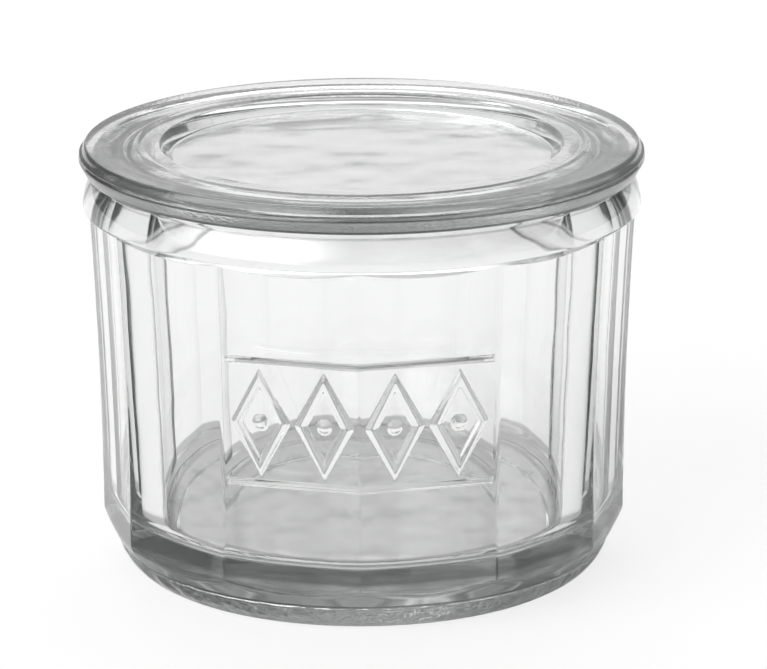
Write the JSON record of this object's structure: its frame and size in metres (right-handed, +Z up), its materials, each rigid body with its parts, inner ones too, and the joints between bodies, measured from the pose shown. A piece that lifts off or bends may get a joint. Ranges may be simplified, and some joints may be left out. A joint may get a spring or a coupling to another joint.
{
  "type": "salt cellar",
  "caption": "Round lidded glass salt cellar: a thick flat-panelled pressed jar with a bulging collar, and a loose disc lid with a locating plug.",
  "frame": {"origin": "centre of the jar's foot, on the surface that it stands on", "axes": "+Z up along the jar's axis; -Y out of the front, where the two raised ribs are; a panel corner faces -Y"},
  "size_m": [0.1076, 0.1076, 0.0828],
  "materials": {
    "jar_glass": "clear pressed glass, smooth with faint mould ripples",
    "lid_glass": "clear pressed glass, fire-polished top and a finely grained lower rim"
  },
  "bodies": {
    "jar": {"jar": "jar_glass"},
    "lid": {"lid": "lid_glass"}
  },
  "joints": [
    {"name": "lid_lift", "type": "slide", "parent": "jar", "child": "lid", "axis": [0, 0, 1], "range_m": [0, 0.1]}
  ]
}
